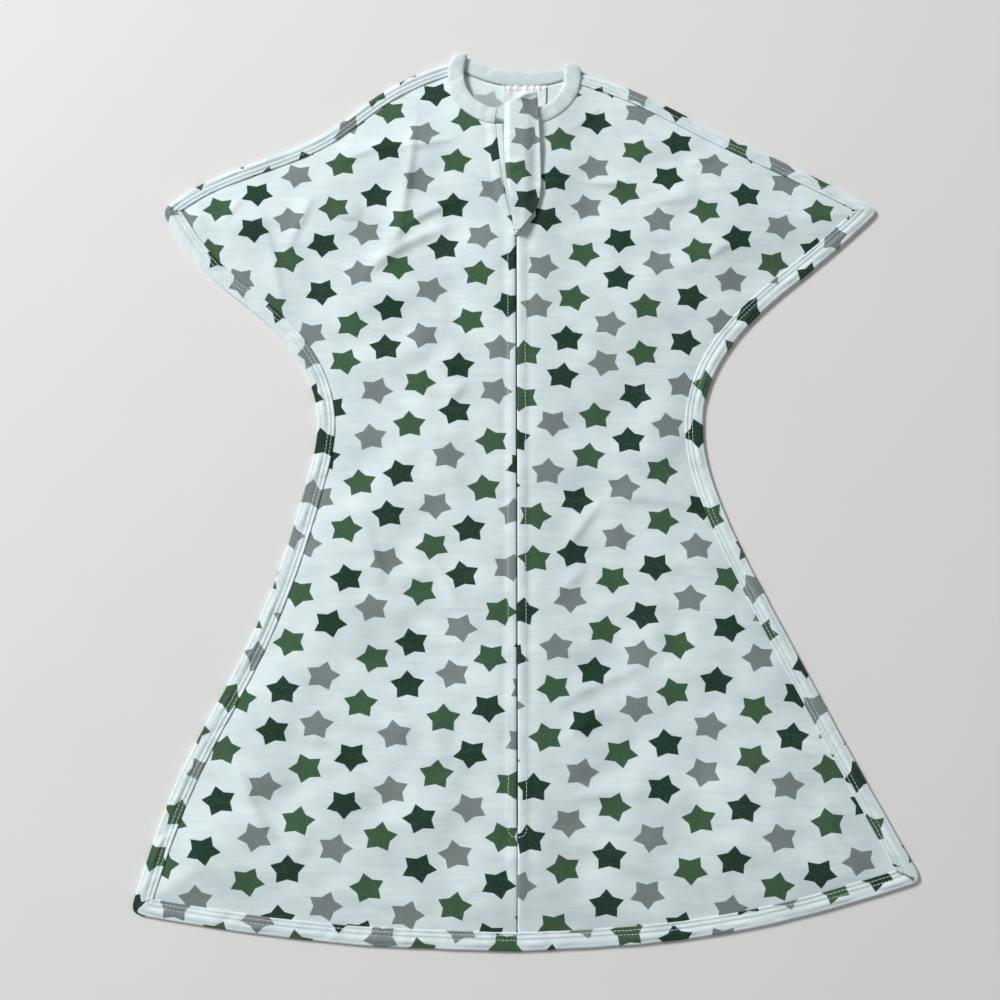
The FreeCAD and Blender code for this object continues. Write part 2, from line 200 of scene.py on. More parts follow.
class Value:
    # wraps a socket, so that arithmetic on it adds Math nodes
    def __init__(self, tree, socket):
        self.tree, self.socket = tree, socket

    def math(self, operation, *others, first=()):
        # the node's inputs are what stands first, this value, then the others
        node = self.tree.nodes.new("ShaderNodeMath")
        node.operation = operation
        for socket, value in zip(node.inputs, (*first, self, *others)):
            if isinstance(value, Value):
                self.tree.links.new(value.socket, socket)
            else:
                socket.default_value = value
        return Value(self.tree, node.outputs[0])

    def __add__(self, o):
        return self.math("ADD", o)

    def __radd__(self, o):
        return self.math("ADD", o)

    def __sub__(self, o):
        return self.math("SUBTRACT", o)

    def __rsub__(self, o):
        return self.math("SUBTRACT", first=[o])

    def __mul__(self, o):
        return self.math("MULTIPLY", o)

    def __rmul__(self, o):
        return self.math("MULTIPLY", o)

    def __truediv__(self, o):
        return self.math("DIVIDE", o)

    def __rtruediv__(self, o):
        return self.math("DIVIDE", first=[o])

    def floor(self):
        return self.math("FLOOR")

    def fract(self):
        return self.math("FRACT")

    def wave(self, size):
        # a sine between 0 and 1, one turn to each size
        return (self / size * math.tau).math("SINE") * 0.5 + 0.5

    def above(self, edge, soft):
        # 0 below the edge, 1 above it, over a soft step
        node = self.tree.nodes.new("ShaderNodeMapRange")
        node.interpolation_type = "SMOOTHSTEP"
        self.tree.links.new(self.socket, node.inputs[0])
        node.inputs[1].default_value = edge - soft
        node.inputs[2].default_value = edge + soft
        return Value(self.tree, node.outputs[0])


class Finish:
    # one material and the few calls that fill it
    def __init__(self, name, baseColor, roughness, **sockets):
        self.material = bpy.data.materials.new(name)
        self.material.use_nodes = True
        self.tree = self.material.node_tree
        self.shader = self.tree.nodes["Principled BSDF"]
        self.shader.inputs["Base Color"].default_value = (*baseColor, 1)
        self.shader.inputs["Roughness"].default_value = roughness
        for key, value in sockets.items():
            self.shader.inputs[key.replace("_", " ")].default_value = value

    def node(self, kind, settings=None, links=None, out=0):
        node = self.tree.nodes.new(kind)
        for key, value in (settings or {}).items():
            setattr(node, key, value)
        for key, value in (links or {}).items():
            if isinstance(value, Value):
                self.tree.links.new(value.socket, node.inputs[key])
            else:
                node.inputs[key].default_value = value
        return Value(self.tree, node.outputs[out])

    def objectCoords(self):
        return self.node("ShaderNodeTexCoord", out="Object")

    def uv(self, layer):
        return self.node("ShaderNodeUVMap", {"uv_map": layer})

    def parts(self, vector):
        node = self.node("ShaderNodeSeparateXYZ", None, {0: vector}).socket.node
        return [Value(self.tree, o) for o in node.outputs]

    def join(self, x, y, z=0.0):
        return self.node("ShaderNodeCombineXYZ", None, {0: x, 1: y, 2: z})

    def noise(self, vector, scale, detail=3.0, roughness=0.55):
        return self.node("ShaderNodeTexNoise", None, {
            "Vector": vector, "Scale": scale, "Detail": detail, "Roughness": roughness})

    def stretch(self, vector, x, y, z=1.0):
        return self.node("ShaderNodeVectorMath", {"operation": "MULTIPLY"},
                         {0: vector, 1: (x, y, z)})

    def mix(self, share, low, high):
        # colours, given as sockets or as three numbers
        full = [v if isinstance(v, Value) else (*v, 1) for v in (low, high)]
        return self.node("ShaderNodeMix", {"data_type": "RGBA"},
                         {0: share, 6: full[0], 7: full[1]}, out=2)

    def feed(self, socket, value):
        self.tree.links.new(value.socket, self.shader.inputs[socket])

    def surface(self, color, roughness, height, distance, strength):
        # feeds the shader, with height times distance as its relief
        self.feed("Base Color", color)
        self.feed("Roughness", roughness)
        self.feed("Normal", self.node("ShaderNodeBump", None, {
            "Height": height, "Distance": distance, "Strength": strength}))
        return self.material


# the outline of each half, left -1 and right 1, in plan millimetres
bag = {
    "length": bagTopH - 4.5, "neckHalf": 53.5, "neckTilt": 4.5,
    "wingHalf": 290.5, "wingLean": 3.5, "wingDrop": 123.0,
    "waistHalf": 151.0, "waistLean": -5.0, "waistDrop": 298.0,
    "hemHalf": 293.0, "hemLean": 7.0, "cornerRise": {-1: 26.0, 1: 49.0},
    "shoulder": {   # share along the shoulder, and how far it bows out there
        -1: [(0.12, 4.2), (0.26, 3.0), (0.44, -4.8), (0.72, 1.2), (0.86, 4.0)],
        1: [(0.14, 4.7), (0.37, 4.0), (0.60, 2.8), (0.85, 2.0)]},
    "underarm": {   # shares across and down, from wing tip to waist
        -1: [(0.275, 0.285), (0.61, 0.50), (0.893, 0.736)],
        1: [(0.277, 0.213), (0.615, 0.45), (0.905, 0.734)]},
    "skirt": {      # the same from waist to hem corner
        -1: [(0.05, 0.12), (0.42, 0.50), (0.74, 0.725)],
        1: [(0.105, 0.213), (0.349, 0.4425), (0.684, 0.7356)]},
    "hem": [0.72, 0.36],
    "wrap": {"shoulder": 10.5, "side": 13.5, "hem": 13.0},
}
neck = {"frontHalf": 17.2, "scoop": {-1: 0.84, 1: 0.80}, "scoopDrop": 37.5, "backDip": 16.0,
        "width": 13.8, "foldIn": 15.0, "foldUp": 4.0}
opening = {"slit": 0.37, "shut": 0.04, "shutH": 84.0, "middle": 13.0, "top": 16.0,
           "facingMiddle": 4.5, "facingTop": 6.0}


def runPoints(side):
    # the points of the shoulder, side and hem runs, in that order round one half
    b = bag
    neckPoint = np.array([side * b["neckHalf"], b["length"] - side * b["neckTilt"]])
    tip = np.array([side * b["wingHalf"] + b["wingLean"], b["length"] - b["wingDrop"]])
    waist = np.array([side * b["waistHalf"] + b["waistLean"], b["length"] - b["waistDrop"]])
    corner = np.array([side * b["hemHalf"] + b["hemLean"], b["cornerRise"][side]])
    along = (tip - neckPoint) / np.linalg.norm(tip - neckPoint)
    outward = side * np.array([-along[1], along[0]])
    shoulder = [neckPoint + (tip - neckPoint) * t + outward * bow for t, bow in b["shoulder"][side]]
    underarm = [tip + (waist - tip) * turn for turn in b["underarm"][side]]
    skirt = [waist + (corner - waist) * turn for turn in b["skirt"][side]]
    hem = [np.array([corner[0] * t, corner[1] * t * t]) for t in b["hem"]]
    return {"shoulder": [neckPoint, *shoulder, tip],
            "side": [tip, *underarm, waist, *skirt, corner],
            "hem": [corner, *hem, np.zeros(2)]}


def inwardAt(points, side):
    # unit tangent and unit vector into the bag, at the points of a run
    line = splineThrough(points, 400)
    near = np.argmin(np.linalg.norm(line[None] - np.asarray(points)[:, None], axis=2), axis=1)
    t = tangents(line)[near]
    return t, side * np.stack([t[:, 1], -t[:, 0]], -1)


def insetRuns(side, amount):
    # the three runs moved into the bag, still meeting at the wing tip and the hem corner
    points = runPoints(side)
    found = {run: inwardAt(points[run], side) for run in points}
    moved = {run: np.asarray(points[run]) + found[run][1] * amount[run] for run in points}
    for first, second in (("shoulder", "side"), ("side", "hem")):
        t1, t2 = found[first][0][-1], found[second][0][0]
        gap = moved[second][0] - moved[first][-1]
        reach = (gap[0] * t2[1] - gap[1] * t2[0]) / (t1[0] * t2[1] - t1[1] * t2[0])
        moved[second][0] = moved[first][-1] = moved[first][-1] + t1 * reach
    moved["hem"][-1] = (0.0, amount["hem"])
    return {run: splineThrough(moved[run], 300) for run in moved}


def evenInset(side, amount):
    return insetRuns(side, dict.fromkeys(bag["wrap"], amount))


edgeCloud = np.concatenate([np.concatenate(list(evenInset(s, 0.0).values())) for s in (-1, 1)])


def fromEdge(x, h):
    # distance of plan points from the outline
    at = np.stack([np.ravel(x), np.ravel(h)], -1)
    found = [np.sqrt(((part[:, None] - edgeCloud[None]) ** 2).sum(2).min(1))
             for part in np.array_split(at, max(1, len(at) // 2000))]
    return np.concatenate(found).reshape(np.shape(x))


def openHalf(h, top=opening["top"], middle=opening["middle"]):
    # half the front opening at a height: sewn shut under the zip, the slit along it, then a
    # bow from the slider to the neck
    h = np.asarray(h, float)
    t = np.clip((h - sliderH) / openLength, 0, 1)
    bow = 4 * middle - 2 * opening["slit"] - 2 * top
    lift = opening["slit"] * (1 - t) + top * t + (bow / 2) * t * (1 - t)
    sewn = 1 - smoothStep((h - opening["shutH"]) / 4)
    slit = opening["slit"] + (opening["shut"] - opening["slit"]) * sewn
    return np.where(h < sliderH, slit, lift)


cloth = {
    "printShift": {-1: (0, 0), 1: (0.0145, 0.0121), "back": (0.41, 0.13)}, "edgeInset": 2.4,
    "thick": 0.8, "edgeTop": 2.1, "loft": 7.0, "underLap": 11.0, "rise": 26.0,
    "ridgeFlat": 7.0, "ridgeFall": 48.0, "ridgeFromEdge": 30.0, "hemFade": 75.0,
    "waves": [      # height, lean of each axis into the other, seed, size across and along
        (2.4, 0.35, -0.2, 3, 74, 58), (1.44, -0.5, 0.0, 5, 38, 33), (0.85, 0.0, 0.3, 8, 15, 11)],
    "pucker": 0.4, "puckerAt": 9.0, "puckerWide": 5.0, "bandLumps": 1.1, "bandFrom": 4.5,
    "footDip": 0.8, "footSwell": 0.9, "seamRipple": 0.4,
    "neckPucker": 1.2, "neckFrom": 53.0, "neckReach": 20.0, "neckFolds": 26.0,
    "slitDip": 0.23, "seamDip": 0.12, "rowShare": ([0, 0.64, 1], [0, 0.80, 1]),
    "foldScale": 1.4, "foldPoints": 48, "lightFrom": (-0.79, 0.61),
    "creases": [    # the line of each soft fold in plan, its half width and its height
        (((-80, 655), (-87, 594), (-96, 535)), 6, 1.7), (((-123, 511), (-93, 536), (-51, 555)), 6, 2.1),
        (((-105, 538), (-81, 560), (-39, 580)), 6, 1.7),
        (((-144, 609), (-120, 619), (-90, 622)), 6, 1.6),
        (((-98, 621), (-62, 626), (-20, 636)), 6, 1.6),
        (((-210, 574), (-193, 525), (-179, 478), (-145, 451), (-98, 414)), 6, 1.9),
        (((-164, 580), (-173, 558), (-182, 536)), 5, 1.5), (((-236, 558), (-219, 583)), 5, 1.3),
        (((-150, 565), (-124, 561)), 5, 1.3), (((21, 626), (46, 638), (72, 662)), 6, 1.8),
        (((45, 595), (71, 590), (95, 592)), 6, 1.5), (((139, 605), (172, 619)), 5, 1.5),
        (((147, 525), (176, 543)), 6, 1.4), (((100, 572), (148, 580)), 7, 1.2),
        (((67, 335), (111, 333), (137, 327), (158, 310)), 6, 1.7),
        (((30, 282), (49, 311), (69, 335)), 7, 1.5), (((16, 242), (33, 262), (54, 281)), 6, 1.6),
        (((-119, 310), (-108, 290), (-102, 270)), 6, 1.4),
        (((-64, 290), (-47, 258), (-18, 232)), 6, 1.6),
        (((6, 150), (29, 175), (67, 195), (111, 212)), 7, 1.5),
        (((12, 130), (36, 153), (65, 172)), 7, 1.3),
        (((-217, 153), (-204, 121), (-179, 75), (-138, 37)), 6, 2.0),
        (((-207, 78), (-182, 51), (-151, 24)), 6, 2.0), (((33, 108), (61, 112), (96, 110)), 7, 1.1),
        (((31, 87), (73, 64), (137, 48)), 7, 1.5), (((-51, 31), (-20, 47), (5, 42), (37, 45)), 6, 1.7),
        (((228, 115), (243, 72), (268, 48)), 6, 1.4), (((-138, 48), (-101, 34), (-60, 31)), 7, 1.3),
        (((-37, 428), (-55, 409)), 7, 1.3), (((-258, 577), (-250, 546)), 5, 1.2),
        (((-68, 444), (-37, 435)), 7, 1.2), (((133, 287), (170, 256)), 8, 1.2),
        (((96, 371), (135, 363)), 8, 1.1),
    ],
}


def creaseRise(x, h):
    # each fold rises gently to its line and drops three times as fast on the side away from
    # the light
    rise = np.zeros(x.shape)
    for line, width, height in cloth["creases"]:
        count = cloth["foldPoints"]
        path = splineThrough(line, count) if len(line) > 2 else evenly(np.array(line, float), count)
        t = tangents(path)
        away = np.stack([-t[:, 1], t[:, 0]], -1)
        away *= -np.sign(away.mean(0) @ cloth["lightFrom"])
        (lowX, lowH), (highX, highH) = path.min(0) - 4 * width, path.max(0) + 4 * width
        near = (x > lowX) & (x < highX) & (h > lowH) & (h < highH)
        gap = np.stack([x[near], h[near]], -1)[:, None] - path[None]
        k = (gap ** 2).sum(2).argmin(1)
        gap = gap[np.arange(len(k)), k]
        wide = np.where((gap * away[k]).sum(1) > 0, 0.5 * width, 1.5 * width)
        taper = np.sin(np.pi * (k + 0.5) / count) ** 0.7
        fall = np.exp(-(np.linalg.norm(gap, axis=1) / wide) ** 1.5)
        rise[near] += cloth["foldScale"] * height * taper * fall
    return rise


zipEnd = {"level": 89.0, "half": 6.8, "drop": 7.4}


def frontHeight(x, h):
    # top of the front cloth: thin at the edge, loose inside it, raised along the zip, with
    # soft waves, folds, and puckers beside the zip
    c = cloth
    x, h = np.asarray(x, float), np.asarray(h, float)
    inside = fromEdge(x, h)
    lift = 1 - np.exp(-np.clip(inside - c["underLap"], 0, None) / c["rise"])
    z = c["edgeTop"] + (c["loft"] - c["edgeTop"]) * lift
    fromZip = np.abs(x) - openHalf(h)
    ridge = 1 - smoothStep((fromZip - c["ridgeFlat"]) / c["ridgeFall"])
    ridge = ridge * smoothStep(h / c["hemFade"]) * smoothStep(inside / c["ridgeFromEdge"])
    free = lift * (1 - ridge)
    for height, leanX, leanH, seed, sizeX, sizeH in c["waves"]:
        z = z + free * height * ripple(x + leanX * h, h + leanH * x, seed, sizeX, sizeH)
    z = z + free * creaseRise(x, h)
    z = z + (frontTop - z) * ridge
    besideZip = np.exp(-((fromZip - c["puckerAt"]) / c["puckerWide"]) ** 2)
    besideZip = besideZip * smoothStep((fromZip - 3) / 3)
    z = z - c["pucker"] * besideZip * ridge * (1 + ripple(x * 0, h, 12, 9, 9))
    # the raised band is lumpy outside the slider's way
    lumps = 0.5 + 0.5 * ripple(x * 0 + np.sign(x) * 40, h, 14, 9, 31)
    z = z - c["bandLumps"] * lumps * ridge * smoothStep((fromZip - c["bandFrom"]) / 5)
    # stitching round the foot of the zip draws the cloth down, and it swells under that
    foot = np.hypot(x / 8.0, (h - zipEnd["level"]) / 9.0)
    under = np.exp(-((foot - 1) / 0.13) ** 2) * smoothStep((zipEnd["level"] - h + 5) / 5)
    swell = np.exp(-np.hypot(x / 9, (h - zipEnd["level"] + 20) / 7) ** 2)
    z = z - c["footDip"] * under + c["footSwell"] * swell
    # and along the lapped edges
    seamSide = np.exp(-np.clip(inside - 12, 0, None) / 9) * smoothStep((inside - 9) / 4)
    z = z + c["seamRipple"] * seamSide * ripple(x, h, 15, 13, 13)
    # short folds that run out from the neck seam
    up = h - bag["length"] - 2.0
    out = np.hypot(x, up) - c["neckFrom"]
    near = np.exp(-np.clip(out, 0, None) / c["neckReach"])
    near = near * smoothStep(out / 5) * smoothStep(inside / 14)
    folds = ripple(np.arctan2(up, x) * c["neckFolds"], out * 0.12, 17, 3.4, 4)
    return z + c["neckPucker"] * near * folds * (1 - 0.6 * ridge)


def patch(bottom, top, left, right):
    # surface between four edge lines: each point blends the edges, less the blend of corners
    v = np.linspace(0, 1, len(left))[:, None, None]
    u = np.linspace(0, 1, len(bottom))[None, :, None]
    sides = (1 - u) * left[:, None] + u * right[:, None]
    ends = (1 - v) * bottom[None] + v * top[None]
    corners = ((1 - v) * ((1 - u) * bottom[0] + u * bottom[-1])
               + v * ((1 - u) * top[0] + u * top[-1]))
    return sides + ends - corners


def neckLines(side, count):
    # seam and free edge of the binding on one front half, from the shoulder to the opening
    n = neck
    neckPoint = runPoints(side)["shoulder"][0]
    turn = np.array([neckPoint[0] * n["scoop"][side], bag["length"] - n["scoopDrop"]])
    front = np.array([side * n["frontHalf"], neckH])
    centre = circleCentre(neckPoint, turn, front)
    innerTurn, innerFront = (
        p + (centre - p) / np.linalg.norm(centre - p) * n["width"] for p in (turn, front))
    fold = neckPoint + np.array([-side * n["foldIn"], n["foldUp"]])
    return arcThrough(neckPoint, turn, front, count), arcThrough(fold, innerTurn, innerFront, count)


def backNeckLines(count):
    # the same at the back, from the right shoulder to the left
    right, left = runPoints(1)["shoulder"][0], runPoints(-1)["shoulder"][0]
    dip = np.array([0.0, bag["length"] - neck["backDip"]])
    foldRight = right + np.array([-neck["foldIn"], neck["foldUp"]])
    foldLeft = left + np.array([neck["foldIn"], neck["foldUp"]])
    return (arcThrough(right, dip, left, count),
            arcThrough(foldRight, dip + np.array([0, neck["width"]]), foldLeft, count))


def clothUv(points):
    return points[:, :2] * mm


def raised(plan, z):
    # a list of points from a grid of plan points and their heights
    return np.concatenate([plan, z[..., None]], -1).reshape(-1, 3)


def laySheet(plan):
    # a panel's size is that of its grid of plan points; this works out its area, half the cross product
    # of each cell's diagonals, and returns nothing
    a, b = plan[1:, 1:] - plan[:-1, :-1], plan[1:, :-1] - plan[:-1, 1:]
    area = np.abs(a[..., 0] * b[..., 1] - a[..., 1] * b[..., 0]).sum() / 2 * mm * mm


def frontPanel(side, material, inside):
    # each row runs from the opening out to the edge, both ends read at one height; the rows
    # start along the hem and lie closer together at the shoulder
    rows, cols = 330, 128
    runs = evenInset(side, cloth["edgeInset"])
    seam = neckLines(side, 300)[0][::-1]
    edge = np.concatenate([runs["side"][::-1], runs["shoulder"][::-1][1:]])
    bottom = evenly(runs["hem"][::-1], cols)
    bottom[0] = (side * opening["slit"], bottom[0][1])
    share = np.interp(np.linspace(0, 1, rows), *cloth["rowShare"])
    topH = min(seam[-1][1], edge[-1][1]) - cloth["thick"]
    near = bottom[0][1] + (topH - bottom[0][1]) * share
    far = bottom[-1][1] + (topH - bottom[-1][1]) * share
    inner = np.where(near < neckH, side * openHalf(near), np.interp(near, *seam.T[::-1]))
    inner = np.stack([inner, near], -1)
    outer = np.stack([np.interp(far, *edge.T[::-1]), far], -1)
    top = inner[-1] + (outer[-1] - inner[-1]) * np.linspace(0, 1, cols)[:, None]
    plan = patch(bottom, top, inner, outer)
    x, h = plan[..., 0], plan[..., 1]
    # the folded edge beside the zip turns down a little
    dip = cloth["seamDip"] + cloth["slitDip"] * smoothStep((h - opening["shutH"]) / 5)
    z = frontHeight(x, h) - dip * np.exp(-((np.abs(x) - openHalf(h)) / 0.6) ** 2)
    points = raised(plan, z)
    faces = gridFaces(rows, cols)
    if side < 0:
        faces = faces[:, ::-1]
    name = "frontLeft" if side < 0 else "frontRight"
    piece = meshPiece(name, points, faces, clothUv(points) + cloth["printShift"][side])
    addThickness(piece, cloth["thick"], -1, 1)
    node = "front_panel_left" if side < 0 else "front_panel_right"
    settle(piece, node, "bag", "printed_jersey", material, inside)
    laySheet(plan)


def backPanel(material, inside):
    rows, shoulderCols, neckCols = 210, 74, 50
    edge = {s: evenInset(s, cloth["edgeInset"]) for s in (-1, 1)}
    seam = backNeckLines(neckCols)[0][::-1]
    leftTop = evenly(edge[-1]["shoulder"][::-1], shoulderCols)
    rightTop = evenly(edge[1]["shoulder"], shoulderCols)
    leftTop[-1], rightTop[0] = seam[0], seam[-1]
    top = np.concatenate([leftTop[:-1], seam, rightTop[1:]])
    bottom = evenly(joinHalves([edge[-1]["hem"], edge[1]["hem"]]), len(top))
    left, right = (evenly(edge[s]["side"][::-1], rows) for s in (-1, 1))
    top[0], top[-1] = left[-1], right[-1]
    bottom[0], bottom[-1] = left[0], right[0]
    plan = patch(bottom, top, left, right)
    points = raised(plan, 1.0 + 0.12 * ripple(plan[..., 0], plan[..., 1], 21, 40, 30))
    uv = clothUv(points) + cloth["printShift"]["back"]
    piece = meshPiece("backPanel", points, gridFaces(rows, len(top)), uv)
    addThickness(piece, cloth["thick"], -1, 1)
    settle(piece, "back_panel", "bag", "printed_jersey", inside, material)
    laySheet(plan)


wrapProfile = {"under": 6.0, "corner": 3.0, "cornerLength": 9.0, "turn": 1.45, "thick": 0.8,
               "onFloor": 0.06, "step": 1.1, "rows": (2.4, 5.4), "dip": 0.28, "dipWide": 0.55,
               "puff": 0.3, "swell": 0.9, "bumps": 0.3, "wander": 0.7, "lipDrop": 0.35}


def wrapTop(plan, fromLip, along):
    # top of the lapped cloth: over the front, drawn down at the two rows and puffed between
    w = wrapProfile
    z = frontHeight(plan[..., 0], plan[..., 1]) + w["thick"] + 0.12
    for row in w["rows"]:
        z = z - w["dip"] * np.exp(-((fromLip - row) / w["dipWide"]) ** 2)
    z = z + w["puff"] * np.exp(-((fromLip - sum(w["rows"]) / 2) / 1.0) ** 2)
    outer = smoothStep((fromLip - w["rows"][1]) / 2.5) * smoothStep((11.5 - fromLip) / 3)
    z = z + w["swell"] * outer * (0.55 + 0.45 * ripple(along, 0 * along, 33, 13, 9))
    return z + w["bumps"] * ripple(along, 0 * along, 31, 6.5, 9)


def joinHalves(lines):
    # one line, or the left half's and then the right half's the other way round
    return np.concatenate([lines[0], *(line[::-1][1:] for line in lines[1:])])


def wrapEdges(side, run, wander=wrapProfile["wander"]):
    # the edge and the lip of one run; the hem runs from the left corner to the right one
    halves = (side,) if side else (-1, 1)
    edge = joinHalves([evenInset(half, 0.0)[run] for half in halves])
    lip = joinHalves([insetRuns(half, bag["wrap"])[run] for half in halves])
    length = np.linalg.norm(np.diff(edge, axis=0), axis=1).sum()
    count = int(length / wrapProfile["step"])
    edge, lip = evenly(edge, count), evenly(lip, count)
    # the edge wanders out a little, and is rounded off at the corners
    along = np.linspace(0, length, count)
    out = wander * (0.5 + 0.5 * ripple(along, 0 * along, 37, 17, 9))
    fromEnd = np.minimum(along, length - along)
    if run == "shoulder":
        fromEnd = length - along
    rounding = wrapProfile["corner"] * np.clip(1 - fromEnd / wrapProfile["cornerLength"], 0, 1) ** 2
    out = out * smoothStep(fromEnd / 14) - rounding
    away = (edge - lip) / np.linalg.norm(edge - lip, axis=1, keepdims=True)
    return edge + away * out[:, None], lip


def wrapStrip(side, run, name, node, outside, inside):
    # the back cloth turned up round the edge: a profile carried along the edge, flat under the
    # bag, then a half circle, then lying on the front as far as the lip
    w = wrapProfile
    width, r = bag["wrap"][run], w["turn"]
    edge, lip = wrapEdges(side, run)
    angle = np.linspace(0, np.pi, 10)
    into = np.r_[np.linspace(w["under"], r, 3)[:-1], r * (1 - np.sin(angle)),
                 np.linspace(r, width, 20)[1:]]
    low = w["onFloor"] + np.r_[np.zeros(2), r - r * np.cos(angle), np.full(19, 2 * r)]
    lie = np.clip((into - r) / (width - r), 0, 1) * (np.arange(len(into)) > len(angle) + 1)
    plan = edge[:, None] + (lip - edge)[:, None] * (into / width)[None, :, None]
    along = np.broadcast_to(np.arange(len(edge))[:, None] * w["step"], plan.shape[:2])
    fromLip = np.broadcast_to(width - into, plan.shape[:2])
    z = low + (wrapTop(plan, fromLip, along) - low) * smoothStep(lie * 5)
    z = z - w["lipDrop"] * smoothStep((lie - 0.96) / 0.04)
    points = raised(plan, z)
    # the print is the back's, mirrored in the edge: the part along the edge stays, the part
    # square to it turns over
    t = tangents(evenly(wrapEdges(side, run, 0)[0], len(edge)))[:, None]
    gap = plan - edge[:, None]
    uv = edge[:, None] - gap + 2 * (gap * t).sum(2, keepdims=True) * t
    uv = uv.reshape(-1, 2) * mm + cloth["printShift"]["back"]
    faces = gridFaces(*plan.shape[:2])
    if side <= 0:
        faces = faces[:, ::-1]
    piece = meshPiece(name, points, faces, uv)
    addThickness(piece, w["thick"], -1, 1)
    return settle(piece, node, "bag", "printed_jersey", outside, inside)


def wrapRows(side, run):
    # lines of the two stitch rows on a lapped edge
    width = bag["wrap"][run]
    edge, lip = wrapEdges(side, run)
    along = np.arange(len(edge)) * wrapProfile["step"]
    lines = []
    for row in wrapProfile["rows"]:
        plan = edge + (lip - edge) * (1 - row / width)
        z = wrapTop(plan, np.full(len(edge), row), along) + 0.08
        lines.append(np.column_stack([plan, z]))
    return lines


def tubeFaces(rings, sides):
    # quads round a tube, and triangles to the two points that close its ends, which come last
    side, middle = np.arange(sides), rings * sides
    ahead, last = (side + 1) % sides, middle - sides
    caps = [np.stack([np.full(sides, middle), ahead, side], -1),
            np.stack([np.full(sides, middle + 1), last + side, last + ahead], -1)]
    return gridFaces(rings, sides, closed=True), np.concatenate(caps)


stitch = {"length": 2.5, "pitch": 2.9, "width": 0.5, "height": 0.34, "rings": 5, "sides": 6,
          "stray": 0.06}


def dashes(name, node, lines, material):
    # stitches: closed rounded beads, one to each pitch along lines on the cloth
    k = stitch
    spots, ahead = [], []
    for line in lines:
        count = int(np.linalg.norm(np.diff(line, axis=0), axis=1).sum() / k["pitch"])
        around = evenly(line, count * 2 + 1)
        spots.append(around[1::2])
        ahead.append(around[2::2] - around[:-2:2])
    spots, t = np.concatenate(spots), np.concatenate(ahead)
    count = len(spots)
    t = t / np.linalg.norm(t, axis=1, keepdims=True)
    across = np.column_stack([-t[:, 1], t[:, 0], np.zeros(count)])
    up = np.cross(t, across)
    rings, sides = k["rings"], k["sides"]
    a = np.linspace(0.12, 0.88, rings)[:, None] * np.pi
    b = np.arange(sides)[None] / sides * math.tau
    bead = np.stack([-np.cos(a) * k["length"] / 2 + 0 * b, np.sin(a) * np.cos(b) * k["width"] / 2,
                     np.sin(a) * np.sin(b) * k["height"] / 2], -1).reshape(-1, 3)
    ends = np.array([[-k["length"] / 2, 0, 0], [k["length"] / 2, 0, 0]])
    bead = np.concatenate([bead, ends])
    stray = np.random.default_rng(count).normal(0, k["stray"], (count, 3)) * [1, 1, 0.3]
    points = ((spots + stray)[:, None] + bead[None, :, :1] * t[:, None]
              + bead[None, :, 1:2] * across[:, None] + bead[None, :, 2:] * up[:, None])
    quads, caps = tubeFaces(rings, sides)
    start = np.arange(count)[:, None, None] * len(bead)
    faces = (quads + start).reshape(-1, 4).tolist() + (caps + start).reshape(-1, 3).tolist()
    return settle(meshPiece(name, points.reshape(-1, 3), faces), node, "bag", "thread", material)


def tubeAlong(name, path, radius, sides, node, slotName, material, side=None):
    # a wire: a ring carried along the path, its normal the part of a guide square to the path
    t = tangents(path)
    guide = np.broadcast_to([0.0, 0.0, 1.0], path.shape) if side is None else side
    n = guide - (guide * t).sum(1, keepdims=True) * t
    n = n / np.linalg.norm(n, axis=1, keepdims=True)
    b = np.cross(t, n)
    a = (np.arange(sides) / sides * math.tau)[None, :, None]
    ring = path[:, None] + radius * (np.cos(a) * n[:, None] + np.sin(a) * b[:, None])
    points = np.concatenate([ring.reshape(-1, 3), path[:1], path[-1:]])
    quads, caps = tubeFaces(len(path), sides)
    piece = meshPiece(name, points, quads.tolist() + caps.tolist())
    return settle(piece, node, "bag", slotName, material)


binding = {"half": 1.35, "across": 16, "backZ": 1.5, "foldReach": 2.6, "foldPoints": 11,
           "shoulderZ": 5.2, "nearShoulder": 18, "drawIn": 0.16, "hump": 2.1,
           "lumps": 0.18, "lumpLength": 6}


